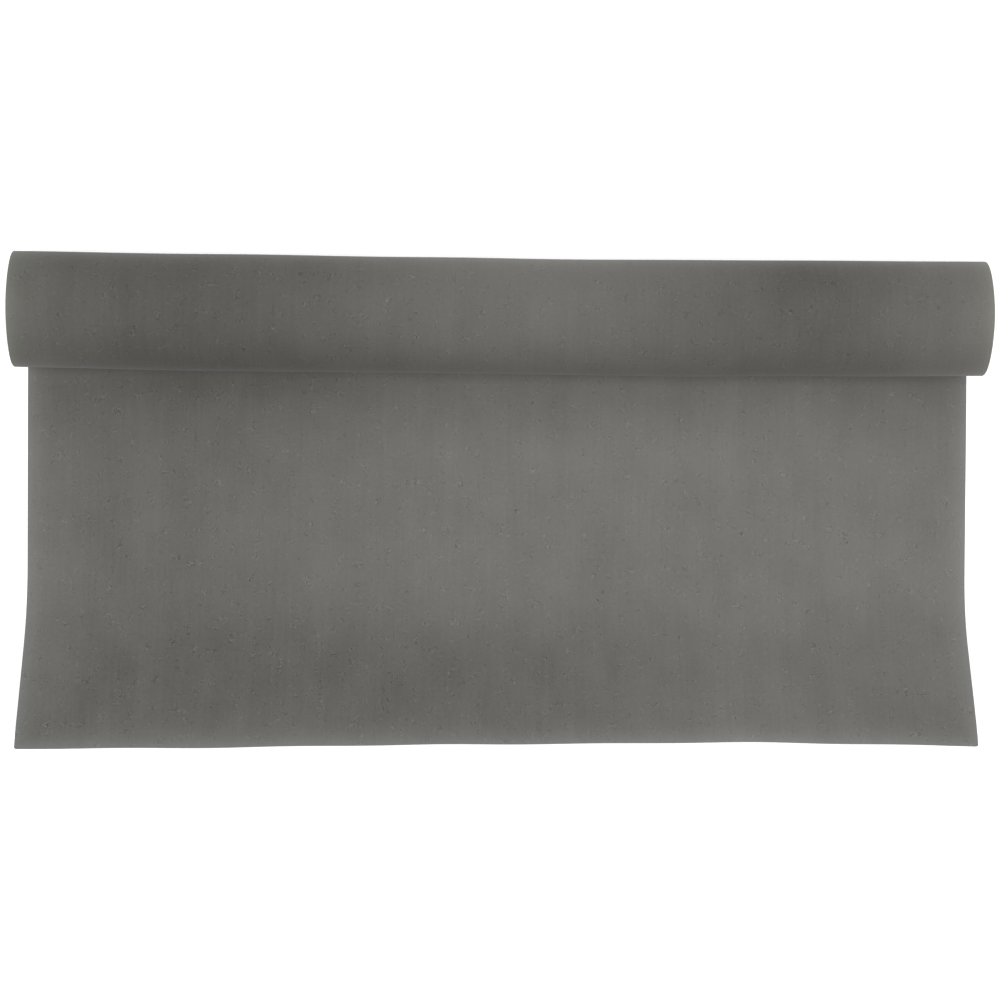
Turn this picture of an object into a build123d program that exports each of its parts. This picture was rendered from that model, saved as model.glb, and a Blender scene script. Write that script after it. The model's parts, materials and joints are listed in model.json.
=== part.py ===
"""A small seamless backdrop paper roll, lying on a floor with a short length paid out.

Millimetres. The origin is the middle of the core's bore, X runs along the roll, the paper
leaves the roll's underside towards -Y along the floor, and +Z is up. The wound turns are one
solid, the outermost turn is a skin around them, and the paid-out sheet is a flat stretch
and a free end that curls up.
"""

from build123d import *
from math import cos, pi, radians, sin, sqrt
import os

os.makedirs("parts", exist_ok=True)

# Paper
roll_width = 680.0
paper_length = 11000.0
paper_thickness = 0.2
winding_gap = 0.03

# Core tube, from the bore outwards
core_bore_radius = 25.4
liner_thickness = 0.3
body_ply_thickness = 0.65
body_ply_count = 4
cover_ply_thickness = 0.3

# Tape that holds the paper's inner end to the core
tape_thickness = 0.15
tape_width = 40.0
tape_end_margin = 25.0
tape_clearance = 0.05

# Paid-out sheet
flat_length = 184.0
curl_radius = 115.0
curl_angle = 25.5
tip_length = 79.0
sheet_clearance = 0.05

# Worked out from the sizes above
liner_outer_radius = core_bore_radius + liner_thickness
body_outer_radius = liner_outer_radius + body_ply_count * body_ply_thickness
core_outer_radius = body_outer_radius + cover_ply_thickness

free_length = flat_length + radians(curl_angle) * curl_radius + tip_length
winding_pitch = paper_thickness + winding_gap
rolled_length = paper_length - free_length
roll_radius = sqrt(core_outer_radius**2 + rolled_length * winding_pitch / pi)
wound_radius = roll_radius - winding_pitch
outer_turn_inner_radius = roll_radius - paper_thickness

tape_outer_radius = core_outer_radius + tape_thickness
tape_half_angle = tape_width / core_outer_radius / 2
tape_length = roll_width - 2 * tape_end_margin

# The floor is the underside of the sheet. The flat stretch begins where its upper face
# meets the outermost turn, just in front of the line on which the roll stands.
floor_z = -roll_radius
sheet_top_z = floor_z + paper_thickness
sheet_start_y = -sqrt(roll_radius**2 - sheet_top_z**2) - sheet_clearance
curl_start_y = -flat_length


# Core tube: the bore liner
with BuildPart() as core_liner_ply:
    with BuildSketch(Plane.YZ):
        Circle(liner_outer_radius)
        Circle(core_bore_radius, mode=Mode.SUBTRACT)
    extrude(amount=roll_width / 2, both=True)

core_liner_ply.part.label = "core_liner_ply"
export_step(core_liner_ply.part, "parts/core_liner_ply.step")


# Core tube: the plies of thick board that make up its wall
for number in range(1, body_ply_count + 1):
    ply_outer_radius = liner_outer_radius + number * body_ply_thickness
    with BuildPart() as core_body_ply:
        with BuildSketch(Plane.YZ):
            Circle(ply_outer_radius)
            Circle(ply_outer_radius - body_ply_thickness, mode=Mode.SUBTRACT)
        extrude(amount=roll_width / 2, both=True)

    core_body_ply.part.label = f"core_body_ply_{number}"
    export_step(core_body_ply.part, f"parts/core_body_ply_{number}.step")


# Core tube: the smooth cover ply that the paper is wound on
with BuildPart() as core_cover_ply:
    with BuildSketch(Plane.YZ):
        Circle(core_outer_radius)
        Circle(body_outer_radius, mode=Mode.SUBTRACT)
    extrude(amount=roll_width / 2, both=True)

core_cover_ply.part.label = "core_cover_ply"
export_step(core_cover_ply.part, "parts/core_cover_ply.step")


# Starting tape: lies over the top of the core, between it and the first turn
with BuildPart() as start_tape:
    with BuildSketch(Plane.YZ):
        Circle(tape_outer_radius)
        Circle(core_outer_radius, mode=Mode.SUBTRACT)
        with BuildLine():
            Polyline(
                (0, 0),
                (2 * roll_radius * sin(tape_half_angle), 2 * roll_radius * cos(tape_half_angle)),
                (-2 * roll_radius * sin(tape_half_angle), 2 * roll_radius * cos(tape_half_angle)),
                close=True,
            )
        make_face(mode=Mode.INTERSECT)
    extrude(amount=tape_length / 2, both=True)

start_tape.part.label = "start_tape"
export_step(start_tape.part, "parts/start_tape.step")


# Wound turns: all the turns that go round with the core, with room for the tape
pocket_radius = tape_outer_radius + tape_clearance
pocket_half_angle = tape_half_angle + tape_clearance / core_outer_radius
pocket_length = tape_length + 2 * tape_clearance

with BuildPart() as wound_paper:
    with BuildSketch(Plane.YZ):
        Circle(wound_radius)
        Circle(core_outer_radius, mode=Mode.SUBTRACT)
    extrude(amount=roll_width / 2, both=True)
    with BuildSketch(Plane.YZ):
        Circle(pocket_radius)
        Circle(core_outer_radius, mode=Mode.SUBTRACT)
        with BuildLine():
            Polyline(
                (0, 0),
                (2 * roll_radius * sin(pocket_half_angle), 2 * roll_radius * cos(pocket_half_angle)),
                (-2 * roll_radius * sin(pocket_half_angle), 2 * roll_radius * cos(pocket_half_angle)),
                close=True,
            )
        make_face(mode=Mode.INTERSECT)
    extrude(amount=pocket_length / 2, both=True, mode=Mode.SUBTRACT)

wound_paper.part.label = "wound_paper"
export_step(wound_paper.part, "parts/wound_paper.step")


# Outermost turn: keeps its place while the turns inside it go round
with BuildPart() as outer_turn:
    with BuildSketch(Plane.YZ):
        Circle(roll_radius)
        Circle(outer_turn_inner_radius, mode=Mode.SUBTRACT)
    extrude(amount=roll_width / 2, both=True)

outer_turn.part.label = "outer_turn"
export_step(outer_turn.part, "parts/outer_turn.step")


# Flat stretch of the paid-out sheet, on the floor
with BuildPart() as flat_sheet:
    with BuildSketch(Plane.YZ):
        with BuildLine():
            Polyline(
                (sheet_start_y, floor_z),
                (sheet_start_y, sheet_top_z),
                (curl_start_y, sheet_top_z),
                (curl_start_y, floor_z),
                close=True,
            )
        make_face()
    extrude(amount=roll_width / 2, both=True)

flat_sheet.part.label = "flat_sheet"
export_step(flat_sheet.part, "parts/flat_sheet.step")


# Free end: curls up from the floor and then runs straight to the cut edge
curl = radians(curl_angle)
curl_centre = (curl_start_y, floor_z + curl_radius)
bend_end = (
    curl_start_y - curl_radius * sin(curl),
    floor_z + curl_radius * (1 - cos(curl)),
)
cut_edge = (bend_end[0] - tip_length * cos(curl), bend_end[1] + tip_length * sin(curl))
face_offset = (paper_thickness * sin(curl), paper_thickness * cos(curl))

with BuildPart() as free_end:
    with BuildSketch(Plane.YZ):
        with BuildLine():
            underside = CenterArc(curl_centre, curl_radius, -90, -curl_angle)
            upper_edge = (cut_edge[0] + face_offset[0], cut_edge[1] + face_offset[1])
            Line(underside @ 1, cut_edge)
            Line(cut_edge, upper_edge)
            upper_bend = CenterArc(
                curl_centre, curl_radius - paper_thickness, -90 - curl_angle, curl_angle
            )
            Line(upper_edge, upper_bend @ 0)
            Line(upper_bend @ 1, underside @ 0)
        make_face()
    extrude(amount=roll_width / 2, both=True)

free_end.part.label = "free_end"
export_step(free_end.part, "parts/free_end.step")
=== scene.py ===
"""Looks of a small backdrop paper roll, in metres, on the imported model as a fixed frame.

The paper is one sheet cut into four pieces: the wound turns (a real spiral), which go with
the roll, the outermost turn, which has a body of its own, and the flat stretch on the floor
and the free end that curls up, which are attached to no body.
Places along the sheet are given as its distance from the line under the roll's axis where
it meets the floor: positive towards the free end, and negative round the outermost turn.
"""

import json
import math

import bmesh
import bpy
import numpy as np
from mathutils import Matrix, Vector


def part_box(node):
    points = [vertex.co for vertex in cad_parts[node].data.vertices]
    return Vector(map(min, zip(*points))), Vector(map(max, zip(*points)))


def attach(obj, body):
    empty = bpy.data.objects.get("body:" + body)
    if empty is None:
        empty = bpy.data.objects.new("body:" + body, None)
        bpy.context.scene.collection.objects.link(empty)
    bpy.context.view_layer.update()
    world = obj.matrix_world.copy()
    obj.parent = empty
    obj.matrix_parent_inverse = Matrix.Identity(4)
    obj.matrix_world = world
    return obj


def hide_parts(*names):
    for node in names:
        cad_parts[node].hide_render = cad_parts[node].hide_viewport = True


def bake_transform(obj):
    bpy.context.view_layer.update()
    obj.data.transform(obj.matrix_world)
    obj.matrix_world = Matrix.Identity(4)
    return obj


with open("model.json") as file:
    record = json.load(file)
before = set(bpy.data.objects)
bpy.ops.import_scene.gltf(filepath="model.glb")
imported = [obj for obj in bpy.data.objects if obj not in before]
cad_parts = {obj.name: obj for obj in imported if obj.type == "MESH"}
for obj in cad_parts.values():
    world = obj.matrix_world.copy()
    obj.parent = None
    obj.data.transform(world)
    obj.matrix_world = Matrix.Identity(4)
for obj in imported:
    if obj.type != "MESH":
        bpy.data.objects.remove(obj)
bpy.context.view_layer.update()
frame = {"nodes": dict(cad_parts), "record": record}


# ---------------------------------------------------------------- sizes, from the frame

half_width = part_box("outer_turn")[1][0]
roll_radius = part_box("outer_turn")[1][1]
floor_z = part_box("flat_sheet")[0][2]
flat_length = -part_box("flat_sheet")[0][1]
free_edge_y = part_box("free_end")[0][1]
bore_radius = frame["record"]["mounts"][0]["dims"]["r_mm"] / 1000
core_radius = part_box("core_cover_ply")[1][1]

# the same as in the CAD model
paper_length = 11.0
paper_thickness = 0.0002
winding_gap = 0.00003
curl_radius = 0.115
curl_angle = math.radians(25.5)

# only here, because the CAD model leaves them out
tape_room = 0.00017  # between the core and the first turn
corner_radius = 0.0018  # of the free edge's two corners
skew = 0.0026  # how far the sheet runs to one side, for each metre paid out
near_bulge, far_bulge = 0.0017, 0.0013  # of the outermost turn, in front and behind
uneven_bulge, snugness = 0.0005, 0.0004
end_splay = 0.0014  # how far the outermost turn's two ends stand out
floor_lift = 0.0009
end_ripple = 0.0016
lip_drop = 0.0012

winding_pitch = paper_thickness + winding_gap

bend_length = curl_radius * curl_angle
bend_end_y = -flat_length - curl_radius * math.sin(curl_angle)
tip_length = (bend_end_y - free_edge_y) / math.cos(curl_angle)
free_length = flat_length + bend_length + tip_length
turn_length = 2 * math.pi * (roll_radius - paper_thickness / 2)


def ramp(x, low, high):
    """Smooth step from 0 at low to 1 at high."""
    t = np.clip((x - low) / (high - low), 0, 1)
    return t * t * (3 - 2 * t)


def waves(x, y, seed, count=7, longest=0.35, shortest=0.08):
    """Smooth unevenness between about -1 and 1, from crossing waves of these lengths (metres)."""
    rng = np.random.default_rng(seed)
    total, most = 0.0, 0.0
    for length in np.geomspace(longest, shortest, count):
        turn, phase = rng.uniform(0, 2 * math.pi, 2)
        size = length / longest
        total = total + size * np.sin(
            2 * math.pi * (x * math.cos(turn) + y * math.sin(turn)) / length + phase
        )
        most += size
    usual_peak = 1 / 1.6
    return total / most / usual_peak


# ---------------------------------------------------------------- meshes

weld_distance = 0.000003
sharp_angle = math.radians(50)


def mesh_piece(name, points, faces, uvs, body=None, second_material=()):
    """A smooth-shaded welded piece from points, faces and one UV pair (metres) per point.

    second_material is the range of faces that take the piece's second material.
    """
    mesh = bpy.data.meshes.new(name)
    mesh.from_pydata([tuple(p) for p in points], [], [tuple(f) for f in faces])
    layer = mesh.uv_layers.new(name="metres")
    corner_points = np.empty(len(mesh.loops), np.int32)
    mesh.loops.foreach_get("vertex_index", corner_points)
    layer.data.foreach_set("uv", np.asarray(uvs, np.float32)[corner_points].ravel())
    mesh.polygons.foreach_set("use_smooth", [True] * len(mesh.polygons))
    material_index = np.zeros(len(mesh.polygons), np.int32)
    material_index[list(second_material)] = 1
    mesh.polygons.foreach_set("material_index", material_index)
    welded = bmesh.new()
    welded.from_mesh(mesh)
    bmesh.ops.remove_doubles(welded, verts=welded.verts, dist=weld_distance)
    bmesh.ops.recalc_face_normals(welded, faces=welded.faces)
    welded.to_mesh(mesh)
    welded.free()
    mesh.set_sharp_from_angle(angle=sharp_angle)
    piece = bpy.data.objects.new(name, mesh)
    bpy.context.scene.collection.objects.link(piece)
    if body:
        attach(piece, body)
    return piece


def grid_faces(rows, columns, first=0):
    """Quads over a grid of points stored row by row."""
    i, j = np.meshgrid(np.arange(rows - 1), np.arange(columns - 1), indexing="ij")
    a = first + (i * columns + j).ravel()
    return np.stack([a, a + 1, a + columns + 1, a + columns], axis=1)


def two_sided(name, middle, normals, uv, body=None, two_materials=True):
    """A sheet of paper: the middle surface's grid, thickened both ways, and closed all round.

    With two materials, the layer that faces away from the normals takes the second one.
    """
    rows, columns = middle.shape[:2]
    half = normals * paper_thickness / 2
    layers = [middle + half, middle - half]
    points = [layer.reshape(-1, 3) for layer in layers]
    uvs = [uv.reshape(-1, 2)] * 2
    faces = [
        grid_faces(rows, columns),
        grid_faces(rows, columns, first=rows * columns),
    ]
    count = 2 * rows * columns
    rims = [
        (slice(0, 1), slice(None)),
        (slice(-1, None), slice(None)),
        (slice(None), slice(0, 1)),
        (slice(None), slice(-1, None)),
    ]
    for down, across in rims:
        upper = layers[0][down, across].reshape(-1, 3)
        lower = layers[1][down, across].reshape(-1, 3)
        line_uv = uv[down, across].reshape(-1, 2)
        points += [upper, lower]
        uvs += [line_uv, line_uv]
        faces.append(grid_faces(2, len(upper), first=count))
        count += 2 * len(upper)
    outer_layer = range(len(faces[0]), len(faces[0]) + len(faces[1]))
    return mesh_piece(
        name,
        np.concatenate(points),
        np.concatenate(faces),
        np.concatenate(uvs),
        body,
        second_material=outer_layer if two_materials else (),
    )


# ---------------------------------------------------------------- the sheet's course


def cut_edge_offset(x):
    """How much further the free edge reaches than a square cut would, across the width."""
    side = x / half_width
    millimetre, wander_length, wander_phase = 0.001, 0.11, 0.6
    slant = millimetre * (
        -2.8 - 2.9 * side + 3.3 * side**2 - 0.9 * np.sin(math.pi * side)
        + 0.25 * np.sin(2 * math.pi * x / wander_length + wander_phase)
    )
    into_corner = np.clip(np.abs(x) - (half_width - corner_radius), 0, corner_radius)
    return slant + np.sqrt(corner_radius**2 - into_corner**2) - corner_radius


def sheet_course(along, x):
    """Middle surface of the sheet at a distance along it and a place across it (metres)."""
    along, x = np.broadcast_arrays(along, x)
    side = x / half_width
    y, z = np.zeros(along.shape), np.zeros(along.shape)

    # the outermost turn: a spiral that ends one winding inside its start, slightly loose
    turn_radius = roll_radius - paper_thickness / 2
    turn = np.clip(-along / turn_radius, 0, 2 * math.pi)
    on_roll = along < 0
    loose = ramp(turn, 0.0, 1.1) * ramp(2 * math.pi - turn, 0.0, 0.9)
    near = np.clip(-np.sin(turn), 0, 1) ** 1.5
    far = np.clip(np.sin(turn), 0, 1) ** 1.5
    bulge = near_bulge * near * (1 - side**2) + far_bulge * far * side**2
    bulge = bulge + uneven_bulge * (1 + waves(x, turn * roll_radius, 11, longest=0.30))
    radius = turn_radius - winding_pitch * turn / (2 * math.pi)
    radius = radius + loose * bulge - snugness * loose
    splay = end_splay * ramp(np.abs(side), 0.86, 1.0) * np.sin(turn) ** 4
    x = x + np.sign(x) * splay + skew * np.clip(along, 0, None)
    y = np.where(on_roll, radius * np.sin(turn), y)
    z = np.where(on_roll, -radius * np.cos(turn), z)

    # the flat stretch, which lies on the floor and lifts off it a little here and there
    ground = floor_z + paper_thickness / 2
    lift = floor_lift * (0.55 + 0.45 * waves(x, along, 5, longest=0.26, shortest=0.07))
    lift = lift * ramp(along, 0.015, 0.075)
    on_floor = (along >= 0) & (along <= flat_length)
    y = np.where(on_floor, -along, y)
    z = np.where(on_floor, ground, z)

    # the free end: a bend up from the floor, then nearly straight to the cut edge
    mid_radius = curl_radius - paper_thickness / 2
    bend = np.clip((along - flat_length) / curl_radius, 0, curl_angle)
    past = np.clip(along - flat_length - bend_length, 0, None)
    in_end = along > flat_length
    y = np.where(
        in_end,
        -flat_length - mid_radius * np.sin(bend) - past * math.cos(curl_angle),
        y,
    )
    z = np.where(
        in_end,
        floor_z + curl_radius - mid_radius * np.cos(bend) + past * math.sin(curl_angle),
        z,
    )
    ripple = end_ripple * waves(x, along, 8, longest=0.40, shortest=0.12)
    ripple = ripple * ramp(along, flat_length, free_length)
    lip = -lip_drop * ramp(along, free_length - 0.016, free_length + 0.004)
    lean = np.where(in_end, bend, 0.0)
    lift = np.where(along >= 0, lift + ripple + lip, 0.0)
    y = y + lift * np.sin(lean)
    z = z + lift * np.cos(lean)
    return np.stack([x, y, z], axis=-1)


def sheet_grid(stations):
    """Points, inner-face normals and UVs (metres across, metres from the cut edge)."""
    # closer columns at the sides, which round the free edge's corners
    near_edge = np.array([0, 0.0001, 0.0003, 0.0006, 0.0010, 0.0015, 0.0022, 0.0032])
    margin, inner_columns = 0.005, 149
    inside = np.linspace(-half_width + margin, half_width - margin, inner_columns)
    x = np.concatenate([near_edge - half_width, inside, half_width - near_edge[::-1]])[None, :]
    stations = np.asarray(stations)[:, None]
    stretch = ramp(stations, flat_length, free_length) * cut_edge_offset(x)
    along = stations + stretch
    middle = sheet_course(along, x)
    step = 0.0005  # kept on one side of the line where the sheet meets the roll
    back = np.where(along > 0, along - step, along)
    ahead = np.where(along > 0, along, along + step)
    down = sheet_course(ahead, x) - sheet_course(back, x)
    across = sheet_course(along, x + step) - sheet_course(along, x - step)
    normals = np.cross(down, across)
    normals /= np.linalg.norm(normals, axis=-1, keepdims=True)
    cut_distance = free_length + cut_edge_offset(x) - along
    uv = np.stack(np.broadcast_arrays(x, cut_distance), axis=-1)
    return middle, normals, uv


# the flat stretch and the curled end join on the floor, just before the bend
seam_at = flat_length - 0.004
turn_stations = np.linspace(-turn_length, 0, 181)
flat_stations = np.linspace(0, seam_at, 49)
end_stations = np.linspace(seam_at, free_length, 57)

outermost = two_sided(
    "outermost_turn",
    *sheet_grid(turn_stations),
    body="outer_turn",
)
stretch = two_sided("flat_stretch", *sheet_grid(flat_stations))
curled = two_sided("curled_end", *sheet_grid(end_stations))


# ---------------------------------------------------------------- the wound turns


def spiral_turns():
    """Angles and radii of the wound turns' middle line, from the core outwards."""
    first = core_radius + tape_room + paper_thickness / 2
    last = roll_radius - paper_thickness * 1.5 - winding_pitch - winding_gap
    turns = (paper_length - free_length - turn_length) / (math.pi * (first + last))
    points_per_turn = 120
    angle = np.linspace(0, 2 * math.pi * turns, int(turns * points_per_turn))
    share = angle / angle[-1]
    # wound tighter next to the core than outside, over a small ridge where the tape is
    looseness, ridge_height, ridge_half_angle = 0.04, 0.00010, 0.5
    radius = first + (last - first) * ((1 - looseness) * share + looseness * share**3)
    from_tape = (angle + math.pi) % (2 * math.pi) - math.pi
    ridge = np.exp(-((from_tape / ridge_half_angle) ** 2))
    radius = radius + ridge_height * ridge * np.exp(-share * 2)
    return angle, radius


def end_relief(angle, seed):
    """How far each turn's edge stands in or out of the roll's end: a few stand proud."""
    turn = angle / (2 * math.pi)
    rng = np.random.default_rng(seed)
    usual, proud, proud_turns = 0.00010, (0.0003, 0.0006), 5
    drift, drift_rate, set_back = 0.0003, 0.21, 0.0004
    steps = rng.normal(0, usual, int(turn.max()) + 3)
    steps[rng.integers(4, len(steps) - 3, proud_turns)] += rng.uniform(*proud, proud_turns)
    relief = np.interp(turn, np.arange(len(steps)), steps)
    return relief + drift * np.sin(turn * drift_rate + seed) - set_back


def wound_piece():
    """The wound turns as one sheet, and the length of paper in them."""
    angle, radius = spiral_turns()
    first_edge_from_top, texture_start = 0.35, 1.0
    from_top = angle + first_edge_from_top
    left = -half_width - end_relief(angle, 3)
    right = half_width + end_relief(angle, 4)
    columns = np.array([0.0, 0.02, 0.98, 1.0])
    x = left[:, None] + (right - left)[:, None] * columns
    sine = np.broadcast_to(np.sin(from_top)[:, None], x.shape)
    cosine = np.broadcast_to(np.cos(from_top)[:, None], x.shape)
    middle = np.stack([x, radius[:, None] * sine, radius[:, None] * cosine], -1)
    inward = np.stack([0 * x, -sine, -cosine], -1)
    steps = np.hypot(np.diff(radius), np.diff(angle) * radius[:-1])
    length_so_far = np.concatenate([[0], np.cumsum(steps)])
    place = np.broadcast_to(texture_start + length_so_far[:, None], x.shape)
    uv = np.stack([x, place], -1)
    piece = two_sided("wound_turns", middle, inward, uv, body="roll", two_materials=False)
    return piece, float(np.sum(steps))


wound, wound_length = wound_piece()


# ---------------------------------------------------------------- the core


def core_ply(name, inner, outer, seed):
    """A tube with slightly fuzzy sawn ends. UV: metres along the roll, metres round it."""
    around, fuzz_height, bulge, collar = 181, 0.00006, 0.00012, 0.004
    usual_depth, depth_spread = 0.0006, 0.0003  # of the ends inside the paper's ends
    turn = np.linspace(0, 2 * math.pi, around)
    rng = np.random.default_rng(seed)
    fuzz = fuzz_height * rng.normal(0, 1, (2, around))
    fuzz[:, -1] = fuzz[:, 0]
    depth = usual_depth + depth_spread * rng.uniform(-1, 1, 2)
    left = -half_width + depth[0] + fuzz[0]
    right = half_width - depth[1] + fuzz[1]
    middle = 0.5 * (inner + outer)
    course = [
        (inner, left + bulge), (middle, left - bulge), (outer, left + bulge),
        (outer, left + collar), (outer, right - collar), (outer, right - bulge),
        (middle, right + bulge), (inner, right - bulge), (inner, right - collar),
        (inner, 0 * right), (inner, left + collar), (inner, left + bulge),
    ]
    points, uvs = [], []
    for r, x in course:
        points.append(np.stack([x, r * np.cos(turn), r * np.sin(turn)], -1))
        uvs.append(np.stack([x + (r - inner), turn * r], -1))
    faces = grid_faces(len(course), around)
    return mesh_piece(name, np.concatenate(points), faces, np.concatenate(uvs), "roll")


body_ply_nodes = [f"core_body_ply_{number}" for number in range(1, 5)]
plies, ply_inner, glue_line = {}, bore_radius, 0.00002
for seed, node in enumerate(["core_liner_ply", *body_ply_nodes, "core_cover_ply"]):
    ply_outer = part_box(node)[1][1]
    board_name = node.replace("_ply", "_board")
    plies[node] = core_ply(board_name, ply_inner, ply_outer - glue_line, seed)
    ply_inner = ply_outer


# ---------------------------------------------------------------- materials


class Nodes:
    """Short names for building a material's node tree."""

    def __init__(self, name):
        self.material = bpy.data.materials.new(name)
        self.material.use_nodes = True
        self.tree = self.material.node_tree
        self.shader = self.tree.nodes["Principled BSDF"]
        self.uv = self.tree.nodes.new("ShaderNodeUVMap")
        self.uv.uv_map = "metres"

    def put(self, value, socket):
        if isinstance(value, bpy.types.NodeSocket):
            self.tree.links.new(value, socket)
        else:
            socket.default_value = value

    def math(self, operation, a, b=0.0, clamp=False):
        node = self.tree.nodes.new("ShaderNodeMath")
        node.operation = operation
        node.use_clamp = clamp
        self.put(a, node.inputs[0])
        self.put(b, node.inputs[1])
        return node.outputs[0]

    def axis(self, name, vector=None):
        node = self.tree.nodes.new("ShaderNodeSeparateXYZ")
        self.put(vector or self.uv.outputs[0], node.inputs[0])
        return node.outputs[name]

    def spread(self, x, y, shift=(0.0, 0.0)):
        """The UV, stretched so that one noise cell is x by y metres."""
        node = self.tree.nodes.new("ShaderNodeMapping")
        self.put(self.uv.outputs[0], node.inputs["Vector"])
        node.inputs["Scale"].default_value = (1 / x, 1 / y, 1.0)
        node.inputs["Location"].default_value = (shift[0], shift[1], 0.0)
        return node.outputs[0]

    def noise(self, x, y, detail=2.0, rough=0.5, shift=(0.0, 0.0)):
        """Noise from about -1 to 1 with cells of x by y metres."""
        node = self.tree.nodes.new("ShaderNodeTexNoise")
        self.put(self.spread(x, y, shift), node.inputs["Vector"])
        node.inputs["Scale"].default_value = 1.0
        node.inputs["Detail"].default_value = detail
        node.inputs["Roughness"].default_value = rough
        middle, stretch = 0.5, 4.0
        off_middle = self.math("SUBTRACT", node.outputs["Fac"], middle)
        return self.math("MULTIPLY", off_middle, stretch)

    def flecks(self, size, share):
        """1 on specks of about this size in this share of cells, and 0 between them."""
        node = self.tree.nodes.new("ShaderNodeTexVoronoi")
        self.put(self.spread(size * 2.2, size * 3.4), node.inputs["Vector"])
        node.inputs["Scale"].default_value = 1.0
        speck_radius = 0.24
        small = self.math("LESS_THAN", node.outputs["Distance"], speck_radius)
        chosen = self.math("LESS_THAN", self.axis("X", node.outputs["Color"]), share)
        return self.math("MULTIPLY", small, chosen)

    def fibres(self, size, shift):
        """1 along short wandering hairlines of about this curl size, and 0 between them."""
        line = self.math("ABSOLUTE", self.noise(size, size * 1.25, detail=1.0, shift=shift))
        here = self.noise(size * 1.7, size * 1.9, detail=0.0, shift=shift[::-1])
        return self.math(
            "MULTIPLY", self.smooth(line, 0.16, 0.02), self.smooth(here, 0.05, 0.60)
        )

    def raised_fibres(self, size, width, shift):
        """Short hairs that lie on the surface: 1 on the lit side, -1 on the shaded side."""
        line = self.noise(size, size * 1.25, detail=1.0, shift=shift)
        line = self.math("MULTIPLY", line, 1 / width)
        square = self.math("MULTIPLY", line, line)
        near = self.math("EXPONENT", self.math("MULTIPLY", square, -1.0))
        to_full_height = 2.33
        sides = self.math("MULTIPLY", self.math("MULTIPLY", line, near), to_full_height)
        here = self.noise(size * 1.6, size * 1.9, detail=0.0, shift=shift[::-1])
        return self.math("MULTIPLY", sides, self.smooth(here, 0.25, 0.80))

    def total(self, *terms):
        """The sum of (value, amount) pairs."""
        found = 0.0
        for value, amount in terms:
            found = self.math("ADD", self.math("MULTIPLY", value, amount), found)
        return found

    def smooth(self, value, low, high):
        """Smooth step from 0 at low to 1 at high."""
        node = self.tree.nodes.new("ShaderNodeMapRange")
        node.interpolation_type = "SMOOTHSTEP"
        self.put(value, node.inputs["Value"])
        node.inputs["From Min"].default_value = low
        node.inputs["From Max"].default_value = high
        return node.outputs["Result"]

    def tinted(self, colour, factor):
        """A colour times one plus a factor."""
        node = self.tree.nodes.new("ShaderNodeVectorMath")
        node.operation = "SCALE"
        node.inputs[0].default_value = colour
        self.put(self.math("ADD", factor, 1.0), node.inputs["Scale"])
        return node.outputs[0]

    def sum_colour(self, first, second):
        node = self.tree.nodes.new("ShaderNodeVectorMath")
        node.operation = "ADD"
        self.put(first, node.inputs[0])
        self.put(second, node.inputs[1])
        return node.outputs[0]

    def soft_patch(self, across, from_edge, wide, long):
        """A broad soft patch: 1 in its middle and 0 well outside it, places in metres."""
        u = self.math("DIVIDE", self.math("SUBTRACT", self.axis("X"), across), wide)
        v = self.math("DIVIDE", self.math("SUBTRACT", self.axis("Y"), from_edge), long)
        square = self.math("ADD", self.math("MULTIPLY", u, u), self.math("MULTIPLY", v, v))
        return self.math("EXPONENT", self.math("MULTIPLY", square, -1.0))

    def finish(self, colour, roughness, specular=None):
        """Colour and roughness that vary, and a specular level that doesn't."""
        self.put(colour, self.shader.inputs["Base Color"])
        self.put(roughness, self.shader.inputs["Roughness"])
        if specular is not None:
            self.shader.inputs["Specular IOR Level"].default_value = specular

    def bump(self, height, strength, distance):
        node = self.tree.nodes.new("ShaderNodeBump")
        node.inputs["Strength"].default_value = strength
        node.inputs["Distance"].default_value = distance
        self.put(height, node.inputs["Height"])
        self.put(node.outputs[0], self.shader.inputs["Normal"])


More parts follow.
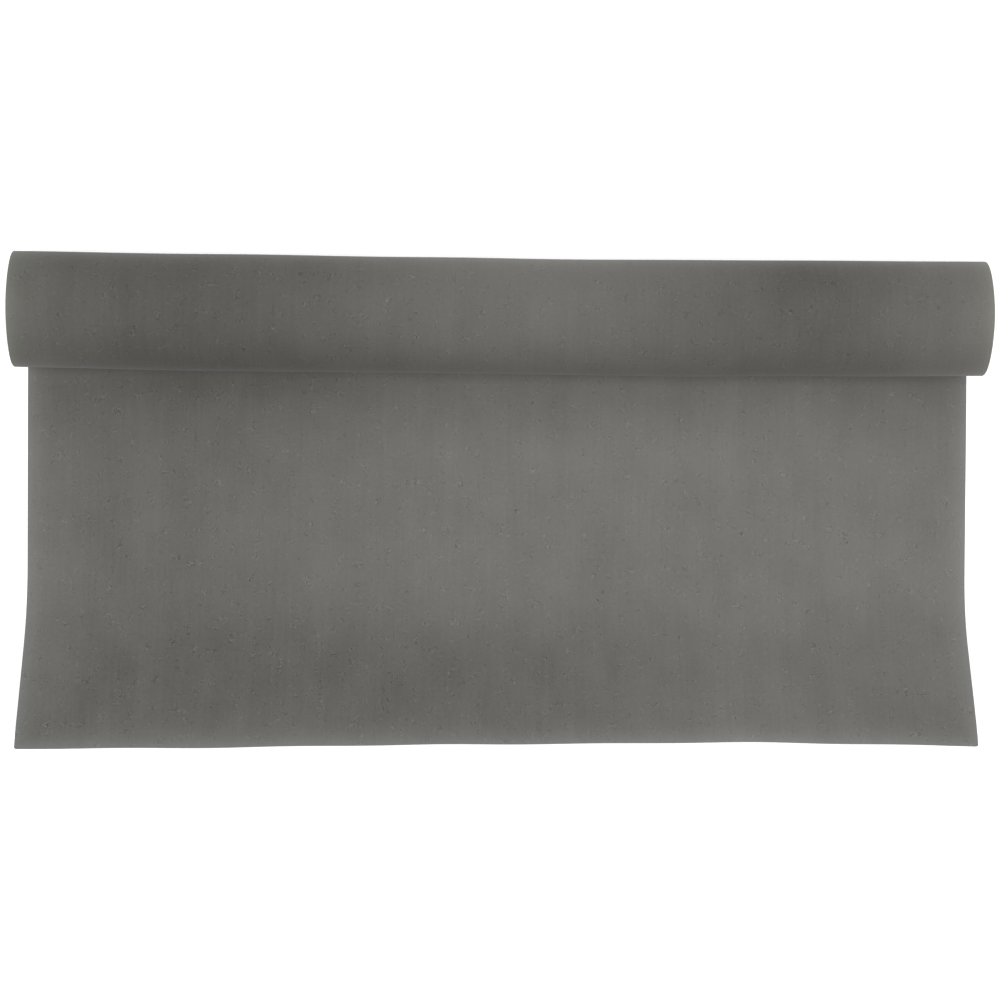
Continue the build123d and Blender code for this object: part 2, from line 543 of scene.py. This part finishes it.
def paper_material(name, colour, patches_of_tone_and_painted_light, glow=(0.050, 0.056, 0.058), edges=True):
    """Dark warm-grey seamless paper: felt grain, hairs with painted shading, faint streaks,
    soft mottling, and broad patches of tone and of painted light and shade.

    The glow is the painted glare that the paler cut edges and sides add to the colour.
    """
    n = Nodes(name)
    grain = n.noise(0.0008, 0.0010, detail=3.0, rough=0.65)
    felt = n.noise(0.0030, 0.0036, detail=3.0, rough=0.6)
    marks = n.noise(0.0011, 0.0016, detail=1.0, shift=(4.0, 9.0))
    marks = n.math("MULTIPLY", n.math("MULTIPLY", marks, marks), marks)
    streak = n.noise(0.0028, 0.070, detail=3.0, rough=0.55)
    broad_streak = n.noise(0.016, 0.30, detail=2.0, shift=(7.0, 2.0))
    mottle = n.noise(0.030, 0.038, detail=3.0, rough=0.5)
    cloud = n.noise(0.17, 0.14, detail=2.0, rough=0.4, shift=(3.1, 1.7))
    pale, dark = n.flecks(0.0006, 0.03), n.flecks(0.0007, 0.025)
    # painted shading: each hair is paler on its lit side and darker on its shaded side
    hairs = n.raised_fibres(0.0027, 0.30, (5.0, 3.0))
    more_hairs = n.raised_fibres(0.0023, 0.34, (1.0, 8.0))
    # the felt side is rough in patches and smooth between them
    patchy = n.smooth(n.noise(0.0095, 0.0110, detail=2.0, shift=(2.0, 5.0)), -0.35, 0.95)
    roughness_here = n.math("ADD", n.math("MULTIPLY", patchy, 1.30), 0.18)
    grain = n.math("MULTIPLY", grain, roughness_here)
    strokes = n.total((hairs, 0.19), (more_hairs, 0.19), (marks, 0.12))
    strokes = n.math("MULTIPLY", strokes, roughness_here)
    tone = n.total(
        (strokes, 1.0), (grain, 0.158), (felt, 0.030), (streak, 0.036), (broad_streak, 0.024),
        (mottle, 0.068), (cloud, 0.050), (pale, 0.20), (dark, -0.22),
    )
    for *place_and_size, amount in patches_of_tone_and_painted_light:
        patch = n.soft_patch(*place_and_size)
        tone = n.math("ADD", tone, n.math("MULTIPLY", patch, amount))
    result = n.tinted(colour, tone)
    if edges:
        # painted glare: the paper grows paler towards its cut edges and sides, standing in for
        # glare at its outlines
        side = n.math("SUBTRACT", half_width, n.math("ABSOLUTE", n.axis("X")))
        nearest = n.math("MAXIMUM", n.math("MINIMUM", side, n.axis("Y")), 0.0)
        close_fade, wide_fade = 0.0050, 0.0180
        close = n.math("EXPONENT", n.math("MULTIPLY", nearest, -1 / close_fade))
        wide = n.math("EXPONENT", n.math("MULTIPLY", nearest, -1 / wide_fade))
        painted_edge_glare = n.total((close, 0.6), (wide, 0.4), (felt, 0.02))
        result = n.sum_colour(result, n.tinted(glow, n.math("SUBTRACT", painted_edge_glare, 1.0)))
    n.finish(result, n.math("ADD", n.math("MULTIPLY", felt, 0.03), 0.93), specular=0.20)
    n.shader.inputs["Sheen Weight"].default_value = 0.11
    n.shader.inputs["Sheen Roughness"].default_value = 0.50
    n.bump(n.total((grain, 0.5), (felt, 0.6), (streak, 0.25)), 0.35, 0.00006)
    return n.material


def board_material(name, colour, lead, phase, bump_height):
    """Recycled paperboard wound in a helix: fibres, flecks and one butt seam per turn.

    The lead is how far the helix moves along the roll in a turn, and the phase is where its
    seam begins, as a share of a turn.
    """
    n = Nodes(name)
    fibre = n.noise(0.0008, 0.0050, detail=4.0, rough=0.6)
    cloud = n.noise(0.020, 0.030, detail=3.0, shift=(phase, 1.0))
    pale, dark = n.flecks(0.0006, 0.10), n.flecks(0.0007, 0.10)
    light_fibres, dark_fibres = n.fibres(0.0034, (2.0, phase)), n.fibres(0.0038, (phase, 6.0))
    round_it = n.math("DIVIDE", n.axis("Y"), 2 * math.pi * bore_radius)
    along_it = n.math("DIVIDE", n.axis("X"), lead)
    place = n.math("FRACT", n.math("ADD", n.math("ADD", round_it, along_it), phase))
    off = n.math("ABSOLUTE", n.math("SUBTRACT", place, 0.5))
    seam = n.smooth(off, 0.006, 0.002)
    lap = n.smooth(off, 0.05, 0.0)
    tone = n.total(
        (fibre, 0.07), (cloud, 0.07), (pale, 0.10), (dark, -0.14), (seam, -0.45), (lap, 0.04),
        (light_fibres, 0.12), (dark_fibres, -0.14),
    )
    roughness = n.math("ADD", n.math("MULTIPLY", fibre, 0.04), 0.82)
    n.finish(n.tinted(colour, tone), roughness, specular=0.35)
    n.bump(n.total((fibre, 0.5), (seam, -2.0)), 0.5, bump_height)
    return n.material


# The face wound inwards is given the paler colour and the outer face a darker one. Patches,
# some of them painted light and shade: place across the width and from the cut edge, half
# width and half length, all in metres, and how much paler (or darker, below 0).
inner_face = paper_material(
    "paper_inner_face",
    (0.1280, 0.1232, 0.1134),
    [
        (-0.25, 0.20, 0.12, 0.20, -0.16),
        (-0.04, 0.17, 0.20, 0.09, 0.08),
        (0.26, 0.17, 0.16, 0.11, 0.07),
        # painted light: a paler band across the sheet in front of the roll, lifting the roll's
        # soft shadow
        (0.08, 0.222, 0.28, 0.030, 0.12),
        # painted shade: the curled end darker than the flat stretch, down to its cut edge
        (-0.10, 0.055, 0.24, 0.045, -0.13),
        (0.00, 0.045, 0.60, 0.045, -0.10),
        (0.00, 0.010, 0.90, 0.022, -0.12),
        # painted shadow: the sheet darker where it meets the roll, at both sides
        (-0.20, 0.270, 0.09, 0.018, -0.16),
        (0.30, 0.272, 0.06, 0.014, -0.09),
        (0.18, 0.050, 0.08, 0.100, 0.10),
        (0.21, 0.235, 0.07, 0.030, 0.07),
        # painted light: a narrow paler strip just in front of the roll, softening its contact
        # shadow
        (-0.16, 0.276, 0.24, 0.006, 0.11),
    ],
)
outer_face = paper_material(
    "paper_outer_face",
    (0.0962, 0.0927, 0.0850),
    [
        (0.01, 0.42, 0.11, 0.30, 0.18),
        (-0.20, 0.42, 0.12, 0.30, -0.12),
        (0.21, 0.40, 0.05, 0.12, -0.13),
        (0.32, 0.43, 0.06, 0.12, 0.14),
        (-0.28, 0.395, 0.16, 0.035, -0.14),
        (0.22, 0.395, 0.06, 0.030, -0.09),
        # painted highlight: a paler band along the roll's far side, high up
        (0.02, 0.388, 0.12, 0.030, 0.11),
        # painted shade: the roll darker on its near side towards the sheet, at the left
        (-0.19, 0.480, 0.09, 0.035, -0.10),
    ],
    glow=(0.058, 0.064, 0.052),
)
wound_paper = paper_material("paper_wound", (0.115, 0.1107, 0.102), [], edges=False)
kraft_lead, kraft_bump, grey_lead, grey_bump = 0.11, 0.0001, 0.12, 0.00015
boards = {
    "core_liner_ply": board_material(
        "kraft_liner", (0.43, 0.31, 0.20), kraft_lead, 0.13, kraft_bump
    ),
    "core_cover_ply": board_material(
        "kraft_cover", (0.45, 0.33, 0.21), kraft_lead, 0.61, kraft_bump
    ),
}
for number, node in enumerate(body_ply_nodes, start=1):
    odd = number % 2
    grey = (0.33 + 0.02 * odd, 0.27 + 0.015 * odd, 0.20)
    boards[node] = board_material(
        f"grey_board_{number}", grey, grey_lead, 0.2 * number, grey_bump
    )


def tape_material():
    """Creped paper tape."""
    n = Nodes("paper_tape")
    crepe = n.noise(0.0006, 0.004, detail=2.0)
    cloud = n.noise(0.015, 0.02, detail=2.0)
    colour = n.tinted((0.52, 0.40, 0.22), n.total((crepe, 0.05), (cloud, 0.05)))
    n.finish(colour, n.math("ADD", n.math("MULTIPLY", crepe, 0.05), 0.55))
    n.bump(crepe, 0.4, 0.00008)
    return n.material


def finish_piece(piece, materials, node):
    """Gives a piece its materials and hides the CAD node that it stands in for."""
    for material in materials:
        piece.data.materials.append(material)
    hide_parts(node)


both_faces = [inner_face, outer_face]
finish_piece(outermost, both_faces, "outer_turn")
finish_piece(stretch, both_faces, "flat_sheet")
finish_piece(curled, both_faces, "free_end")
finish_piece(wound, [wound_paper], "wound_paper")
for node, piece in plies.items():
    finish_piece(piece, [boards[node]], node)

# the tape's shape is right as it is, so its CAD node stays
tape = frame["nodes"]["start_tape"]
tape.data.materials.clear()
tape.data.materials.append(tape_material())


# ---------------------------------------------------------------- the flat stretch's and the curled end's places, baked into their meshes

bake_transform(stretch)
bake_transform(curled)


# ---------------------------------------------------------------- floor, light, camera

floor_mesh = bpy.data.meshes.new("floor")
reach, below_sheet = 12.0, 0.0001
floor_mesh.from_pydata(
    [(-reach, -reach, 0), (reach, -reach, 0), (reach, reach, 0), (-reach, reach, 0)],
    [],
    [(0, 1, 2, 3)],
)
floor = bpy.data.objects.new("floor", floor_mesh)
floor.location.z = floor_z - below_sheet
bpy.context.scene.collection.objects.link(floor)
pale = bpy.data.materials.new("pale_floor")
pale.use_nodes = True
pale_shader = pale.node_tree.nodes["Principled BSDF"]
pale_shader.inputs["Base Color"].default_value = (0.90, 0.90, 0.90, 1)
pale_shader.inputs["Roughness"].default_value = 0.9
pale_shader.inputs["Emission Color"].default_value = (1, 1, 1, 1)
pale_shader.inputs["Emission Strength"].default_value = 0.32
floor_mesh.materials.append(pale)


def paper_sweep():
    """A white sweep round the floor that only the camera sees, so it sheds no light."""
    fade_start, fade_end = 0.7, 1.6
    flat_to, bend, wall_height, dome_rise = 4.0, 3.0, 9.0, 1.0
    steps, around, above_floor, top_hole = 12, 64, 0.002, 0.001
    profile = [(fade_start, 0.0), (fade_end, 0.0), (flat_to, 0.0)]
    for step in range(1, steps + 1):
        lean = math.pi / 2 * step / steps
        profile.append((flat_to + bend * math.sin(lean), bend * (1 - math.cos(lean))))
    profile += [(flat_to + bend, wall_height), (top_hole, wall_height + dome_rise)]
    turn = np.linspace(0, 2 * math.pi, around)
    points = [
        np.stack([r * np.cos(turn), r * np.sin(turn), np.full(around, z)], -1)
        for r, z in profile
    ]
    mesh = bpy.data.meshes.new("paper_sweep")
    faces = grid_faces(len(profile), around)
    mesh.from_pydata(np.concatenate(points).tolist(), [], faces.tolist())
    sweep = bpy.data.objects.new("paper_sweep", mesh)
    sweep.location.z = floor_z + above_floor
    bpy.context.scene.collection.objects.link(sweep)
    for kind in ("diffuse", "glossy", "transmission", "volume_scatter", "shadow"):
        setattr(sweep, "visible_" + kind, False)
    material = bpy.data.materials.new("white_sweep")
    material.use_nodes = True
    tree = material.node_tree
    tree.nodes.remove(tree.nodes["Principled BSDF"])
    place = tree.nodes.new("ShaderNodeTexCoord")
    distance = tree.nodes.new("ShaderNodeVectorMath")
    distance.operation = "LENGTH"
    fade = tree.nodes.new("ShaderNodeMapRange")
    fade.interpolation_type = "SMOOTHSTEP"
    fade.inputs["From Min"].default_value = fade_start
    fade.inputs["From Max"].default_value = fade_end
    clear = tree.nodes.new("ShaderNodeBsdfTransparent")
    white = tree.nodes.new("ShaderNodeEmission")
    mix = tree.nodes.new("ShaderNodeMixShader")
    tree.links.new(place.outputs["Object"], distance.inputs[0])
    tree.links.new(distance.outputs["Value"], fade.inputs["Value"])
    tree.links.new(fade.outputs["Result"], mix.inputs[0])
    tree.links.new(clear.outputs[0], mix.inputs[1])
    tree.links.new(white.outputs[0], mix.inputs[2])
    tree.links.new(mix.outputs[0], tree.nodes["Material Output"].inputs["Surface"])
    mesh.materials.append(material)


paper_sweep()

world = bpy.data.worlds.new("studio")
bpy.context.scene.world = world
world.use_nodes = True
background = world.node_tree.nodes["Background"]
background.inputs["Color"].default_value = (1, 1, 1, 1)
background.inputs["Strength"].default_value = 0.42


def softbox(name, place, aim, size, power):
    """A rectangular area light: place, aim and size in metres, power in watts."""
    lamp = bpy.data.lights.new(name, "AREA")
    lamp.shape = "RECTANGLE"
    lamp.size, lamp.size_y = size
    lamp.energy = power
    holder = bpy.data.objects.new(name, lamp)
    holder.location = place
    direction = Vector(aim) - Vector(place)
    holder.rotation_euler = direction.to_track_quat("-Z", "Y").to_euler()
    bpy.context.scene.collection.objects.link(holder)


softbox("overhead_softbox", (0.05, -0.35, 2.3), (0, -0.12, 0), (1.6, 1.2), 46)
softbox("far_fill", (-0.1, 1.6, 1.5), (0, 0, 0), (2.2, 1.0), 12)

bpy.context.scene.view_settings.view_transform = "Standard"
bpy.context.scene.view_settings.look = "None"

# the camera looks nearly straight down; angles in radians, lens as a share of the sensor
camera_place = (-0.0370, -0.1100, floor_z + 1.5406)
camera_tilt, camera_pan, camera_turn = -0.0136, 0.0247, -0.0085
lens_share, sensor_width = 2.1253, 36.0

camera_data = bpy.data.cameras.new("camera")
camera_data.sensor_width = sensor_width
camera_data.lens = lens_share * sensor_width
camera_data.clip_start, camera_data.clip_end = 0.01, 100
camera = bpy.data.objects.new("camera", camera_data)
bpy.context.scene.collection.objects.link(camera)
forward = Vector((
    math.sin(camera_pan) * math.cos(camera_tilt),
    math.sin(camera_tilt),
    -math.cos(camera_pan) * math.cos(camera_tilt),
)).normalized()
level_right = (Vector((1, 0, 0)) - forward.x * forward).normalized()
level_up = level_right.cross(forward)
right = math.cos(camera_turn) * level_right - math.sin(camera_turn) * level_up
up = math.sin(camera_turn) * level_right + math.cos(camera_turn) * level_up
aim = Matrix((right, up, -forward)).transposed().to_4x4()
aim.translation = camera_place
camera.matrix_world = aim
bpy.context.scene.camera = camera
